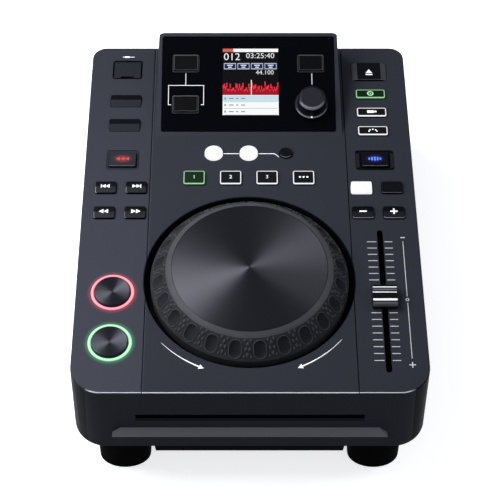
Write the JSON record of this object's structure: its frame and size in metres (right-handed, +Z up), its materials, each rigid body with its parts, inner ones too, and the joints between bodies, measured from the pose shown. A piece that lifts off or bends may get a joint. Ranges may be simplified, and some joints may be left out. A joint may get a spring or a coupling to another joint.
{
  "type": "tabletop dj media player",
  "caption": "Tabletop DJ player: jog wheel, tilted screen pod, pitch fader, lit cue and play buttons, keys, and a front slot for the disc.",
  "frame": {"origin": "middle of the overall box in plan, at the underside of the feet", "axes": "+Z up, -Y towards the user at the front with the disc slot, +X to the user's right"},
  "size_m": [0.25, 0.3402, 0.126],
  "materials": {
    "housing": "fine matt moulded ABS, dark grey",
    "pod_frame": "satin moulded ABS, mid grey",
    "base": "black powder coat",
    "foot_rubber": "matt black rubber",
    "grip_rubber": "matt moulded rubberised plastic",
    "anodised": "spun, dark anodised",
    "key_black": "satin black",
    "key_lit": "translucent, lit white",
    "dial_metal": "metallised, turned rings",
    "light_guide": "clear, lit",
    "glass": "polished, black printed behind",
    "board": "green solder mask",
    "steel": "zinc plated",
    "bearing_bronze": "sintered",
    "white_plastic": "natural acetal",
    "black_plastic": "moulded black",
    "roller_rubber": "rubber"
  },
  "bodies": {
    "deck": {"top_panel": "housing", "case_walls": "housing", "slot_frame": "black_plastic", "socket_plate": "black_plastic", "base_plate": "base", "feet": "foot_rubber", "screws": "steel", "light_rings": "light_guide", "control_boards": "board", "main_boards": "board", "jog_bearing": "bearing_bronze", "fader_track": "base", "screen_frame": "pod_frame", "screen_glass": "glass", "select_encoder": "steel", "port_socket": "steel", "drive_chassis": "steel", "rear_sockets": "steel", "power_inlet": "black_plastic"},
    "jog": {"jog_disc": "anodised", "jog_ring": "grip_rubber", "jog_shaft": "steel"},
    "fader": {"fader_knob": "key_black", "fader_carriage": "black_plastic"},
    "select_push": {"select_plunger": "white_plastic"},
    "select_turn": {"select_knob": "key_black"},
    "cover": {"port_cover": "key_black"},
    "rocker": {"power_switch": "black_plastic"},
    "spindle": {"turntable": "black_plastic"},
    "sled": {"laser_sled": "black_plastic"},
    "pinion": {"sled_gear": "white_plastic"},
    "roller": {"load_roller": "roller_rubber"},
    "track_back": {"track_back_key": "key_black"},
    "track_next": {"track_next_key": "key_black"},
    "search_back": {"search_back_key": "key_black"},
    "search_forward": {"search_forward_key": "key_black"},
    "bend_down": {"bend_down_key": "key_black"},
    "bend_up": {"bend_up_key": "key_black"},
    "master_tempo": {"master_tempo_key": "key_lit"},
    "range": {"range_key": "key_black"},
    "source_1": {"source_key_1": "key_black"},
    "source_2": {"source_key_2": "key_black"},
    "source_3": {"source_key_3": "key_black"},
    "hot_cue_1": {"hot_cue_key_1": "key_black"},
    "hot_cue_2": {"hot_cue_key_2": "key_black"},
    "hot_cue_3": {"hot_cue_key_3": "key_black"},
    "memo": {"memo_key": "key_black"},
    "text_mode": {"text_mode_key": "key_black"},
    "auto_cue": {"auto_cue_key": "key_black"},
    "direction": {"direction_key": "key_black"},
    "jog_mode": {"jog_mode_key": "key_black"},
    "eject": {"eject_key": "key_black"},
    "loop_in": {"loop_in_key": "key_lit"},
    "loop_out": {"loop_out_key": "key_lit"},
    "loop_exit": {"loop_exit_key": "key_black"},
    "cue": {"cue_button": "dial_metal"},
    "play": {"play_button": "dial_metal"},
    "tap": {"tap_key": "key_black"},
    "lock": {"lock_key": "key_black"},
    "back": {"back_key": "key_black"}
  },
  "joints": [
    {"name": "jog_turn", "type": "hinge", "parent": "deck", "child": "jog", "pos_m": [0, -0.0685, 0.101], "axis": [0, 0, 1], "continuous": true},
    {"name": "fader_slide", "type": "slide", "parent": "deck", "child": "fader", "axis": [0, 1, 0], "range_m": [-0.05, 0.05]},
    {"name": "select_press", "type": "slide", "parent": "deck", "child": "select_push", "axis": [0, 0.2807, -0.9598], "range_m": [0, 0.0005], "stiffness_N_per_m": 400, "springref_m": -0.001},
    {"name": "select_turn", "type": "hinge", "parent": "select_push", "child": "select_turn", "pos_m": [0.0485, 0.09303, 0.10847], "axis": [0, -0.2807, 0.9598], "continuous": true},
    {"name": "cover_hinge", "type": "hinge", "parent": "deck", "child": "cover", "pos_m": [-0.0952, 0.14495, 0.10005], "axis": [-1, 0, 0], "range_deg": [0, 100]},
    {"name": "rocker_tilt", "type": "hinge", "parent": "deck", "child": "rocker", "pos_m": [0.056, 0.1595, 0.059], "axis": [-1, 0, 0], "range_deg": [0, 16]},
    {"name": "spindle_turn", "type": "hinge", "parent": "deck", "child": "spindle", "pos_m": [0, -0.0845, 0.0519], "axis": [0, 0, 1], "continuous": true},
    {"name": "sled_slide", "type": "slide", "parent": "deck", "child": "sled", "axis": [0, 1, 0], "range_m": [0, 0.034]},
    {"name": "pinion_turn", "type": "hinge", "parent": "deck", "child": "pinion", "pos_m": [0.0279, -0.0505, 0.0569], "axis": [0, 0, 1], "continuous": true},
    {"name": "roller_turn", "type": "hinge", "parent": "deck", "child": "roller", "pos_m": [0, -0.1505, 0.0622], "axis": [1, 0, 0], "continuous": true},
    {"name": "track_back_press", "type": "slide", "parent": "deck", "child": "track_back", "axis": [0, 0, -1], "range_m": [0, 0.001], "stiffness_N_per_m": 200, "springref_m": -0.001},
    {"name": "track_next_press", "type": "slide", "parent": "deck", "child": "track_next", "axis": [0, 0, -1], "range_m": [0, 0.001], "stiffness_N_per_m": 200, "springref_m": -0.001},
    {"name": "search_back_press", "type": "slide", "parent": "deck", "child": "search_back", "axis": [0, 0, -1], "range_m": [0, 0.001], "stiffness_N_per_m": 200, "springref_m": -0.001},
    {"name": "search_forward_press", "type": "slide", "parent": "deck", "child": "search_forward", "axis": [0, 0, -1], "range_m": [0, 0.001], "stiffness_N_per_m": 200, "springref_m": -0.001},
    {"name": "bend_down_press", "type": "slide", "parent": "deck", "child": "bend_down", "axis": [0, 0, -1], "range_m": [0, 0.001], "stiffness_N_per_m": 200, "springref_m": -0.001},
    {"name": "bend_up_press", "type": "slide", "parent": "deck", "child": "bend_up", "axis": [0, 0, -1], "range_m": [0, 0.001], "stiffness_N_per_m": 200, "springref_m": -0.001},
    {"name": "master_tempo_press", "type": "slide", "parent": "deck", "child": "master_tempo", "axis": [0, 0, -1], "range_m": [0, 0.001], "stiffness_N_per_m": 200, "springref_m": -0.001},
    {"name": "range_press", "type": "slide", "parent": "deck", "child": "range", "axis": [0, 0, -1], "range_m": [0, 0.001], "stiffness_N_per_m": 200, "springref_m": -0.001},
    {"name": "source_1_press", "type": "slide", "parent": "deck", "child": "source_1", "axis": [0, 0, -1], "range_m": [0, 0.001], "stiffness_N_per_m": 200, "springref_m": -0.001},
    {"name": "source_2_press", "type": "slide", "parent": "deck", "child": "source_2", "axis": [0, 0, -1], "range_m": [0, 0.001], "stiffness_N_per_m": 200, "springref_m": -0.001},
    {"name": "source_3_press", "type": "slide", "parent": "deck", "child": "source_3", "axis": [0, 0, -1], "range_m": [0, 0.001], "stiffness_N_per_m": 200, "springref_m": -0.001},
    {"name": "hot_cue_1_press", "type": "slide", "parent": "deck", "child": "hot_cue_1", "axis": [0, 0, -1], "range_m": [0, 0.001], "stiffness_N_per_m": 200, "springref_m": -0.001},
    {"name": "hot_cue_2_press", "type": "slide", "parent": "deck", "child": "hot_cue_2", "axis": [0, 0, -1], "range_m": [0, 0.001], "stiffness_N_per_m": 200, "springref_m": -0.001},
    {"name": "hot_cue_3_press", "type": "slide", "parent": "deck", "child": "hot_cue_3", "axis": [0, 0, -1], "range_m": [0, 0.001], "stiffness_N_per_m": 200, "springref_m": -0.001},
    {"name": "memo_press", "type": "slide", "parent": "deck", "child": "memo", "axis": [0, 0, -1], "range_m": [0, 0.001], "stiffness_N_per_m": 200, "springref_m": -0.001},
    {"name": "text_mode_press", "type": "slide", "parent": "deck", "child": "text_mode", "axis": [0, 0, -1], "range_m": [0, 0.001], "stiffness_N_per_m": 200, "springref_m": -0.001},
    {"name": "auto_cue_press", "type": "slide", "parent": "deck", "child": "auto_cue", "axis": [0, 0, -1], "range_m": [0, 0.001], "stiffness_N_per_m": 200, "springref_m": -0.001},
    {"name": "direction_press", "type": "slide", "parent": "deck", "child": "direction", "axis": [0, 0, -1], "range_m": [0, 0.001], "stiffness_N_per_m": 200, "springref_m": -0.001},
    {"name": "jog_mode_press", "type": "slide", "parent": "deck", "child": "jog_mode", "axis": [0, 0, -1], "range_m": [0, 0.001], "stiffness_N_per_m": 200, "springref_m": -0.001},
    {"name": "eject_press", "type": "slide", "parent": "deck", "child": "eject", "axis": [0, 0, -1], "range_m": [0, 0.001], "stiffness_N_per_m": 200, "springref_m": -0.001},
    {"name": "loop_in_press", "type": "slide", "parent": "deck", "child": "loop_in", "axis": [0, 0, -1], "range_m": [0, 0.001], "stiffness_N_per_m": 200, "springref_m": -0.001},
    {"name": "loop_out_press", "type": "slide", "parent": "deck", "child": "loop_out", "axis": [0, 0, -1], "range_m": [0, 0.001], "stiffness_N_per_m": 200, "springref_m": -0.001},
    {"name": "loop_exit_press", "type": "slide", "parent": "deck", "child": "loop_exit", "axis": [0, 0, -1], "range_m": [0, 0.001], "stiffness_N_per_m": 200, "springref_m": -0.001},
    {"name": "cue_press", "type": "slide", "parent": "deck", "child": "cue", "axis": [0, 0, -1], "range_m": [0, 0.0012], "stiffness_N_per_m": 300, "springref_m": -0.001},
    {"name": "play_press", "type": "slide", "parent": "deck", "child": "play", "axis": [0, 0, -1], "range_m": [0, 0.0012], "stiffness_N_per_m": 300, "springref_m": -0.001},
    {"name": "tap_press", "type": "slide", "parent": "deck", "child": "tap", "axis": [0, 0.2807, -0.9598], "range_m": [0, 0.001], "stiffness_N_per_m": 200, "springref_m": -0.001},
    {"name": "lock_press", "type": "slide", "parent": "deck", "child": "lock", "axis": [0, 0.2807, -0.9598], "range_m": [0, 0.001], "stiffness_N_per_m": 200, "springref_m": -0.001},
    {"name": "back_press", "type": "slide", "parent": "deck", "child": "back", "axis": [0, 0.2807, -0.9598], "range_m": [0, 0.001], "stiffness_N_per_m": 200, "springref_m": -0.001}
  ],
  "couplings": [
    {"joint": "pinion_turn", "follows": "sled_slide", "rad_per_m": -156.25}
  ]
}
